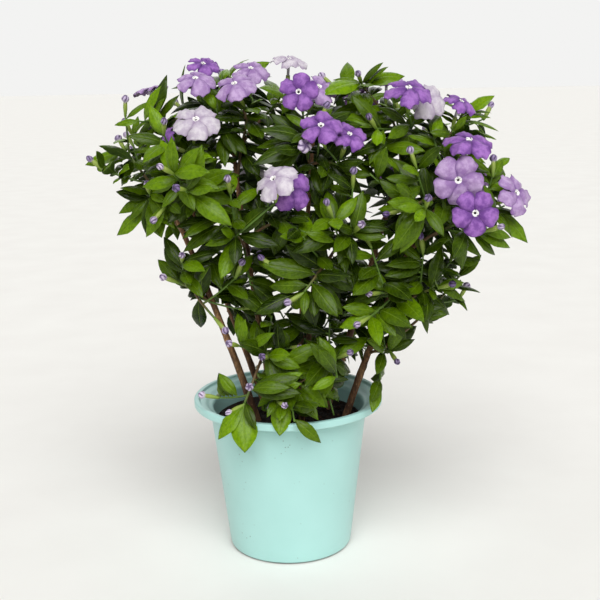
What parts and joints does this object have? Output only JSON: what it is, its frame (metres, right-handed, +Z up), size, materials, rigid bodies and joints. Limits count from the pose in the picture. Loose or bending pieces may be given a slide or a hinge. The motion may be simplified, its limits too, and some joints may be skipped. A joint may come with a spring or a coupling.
{
  "type": "potted flowering shrub",
  "caption": "Bushy yesterday-today-and-tomorrow shrub with violet, lilac and white blooms and round buds, planted in a tapered plastic pot with a rolled rim.",
  "frame": {"origin": "centre of the pot's flat underside, on the ground", "axes": "+Z up; -Y is the front, towards the viewer of the picture; +X to the viewer's right"},
  "size_m": [0.3953, 0.2676, 0.4651],
  "materials": {
    "pot": "smooth mint-green moulded plastic, lightly grimy at the foot",
    "soil": "dark crumbly potting soil with bark pieces",
    "bark": "rough brown bark with pale streaks",
    "leaf": "glossy deep green leaves, paler ribs and shoots, lilac buds",
    "violet": "newly opened violet petals with a white eye",
    "lilac": "day-old lilac petals with a white eye",
    "white": "faded, nearly white petals"
  },
  "bodies": {
    "root": {"pot": "pot", "soil": "soil", "stem_left_front": "bark", "stem_left_back": "bark", "stem_middle_left": "bark", "stem_middle_back": "bark", "stem_middle_front": "bark", "stem_right_front": "bark", "stem_right_back": "bark", "spray_01": "leaf", "spray_02": "leaf", "spray_03": "leaf", "spray_04": "leaf", "spray_05": "leaf", "spray_06": "leaf", "spray_07": "leaf", "spray_08": "leaf", "spray_09": "leaf", "spray_10": "leaf", "spray_11": "leaf", "spray_12": "leaf", "spray_13": "leaf", "spray_14": "leaf", "spray_15": "leaf", "spray_16": "leaf", "spray_17": "leaf", "spray_18": "leaf", "spray_19": "leaf", "spray_20": "leaf", "spray_21": "leaf", "spray_22": "leaf", "spray_23": "leaf", "spray_24": "leaf", "bloom_01": "violet", "bloom_02": "lilac", "bloom_03": "lilac", "bloom_04": "lilac", "bloom_05": "white", "bloom_06": "lilac", "bloom_07": "white", "bloom_08": "violet", "bloom_09": "violet", "bloom_10": "lilac", "bloom_11": "violet", "bloom_12": "violet", "bloom_13": "white", "bloom_14": "violet", "bloom_15": "lilac", "bloom_16": "violet", "bloom_17": "white", "bloom_18": "violet", "bloom_19": "violet", "bloom_20": "lilac", "bloom_21": "violet", "bloom_22": "lilac", "bloom_23": "lilac", "bloom_24": "white", "bloom_25": "violet", "bloom_26": "lilac", "bloom_27": "violet"}
  },
  "joints": []
}
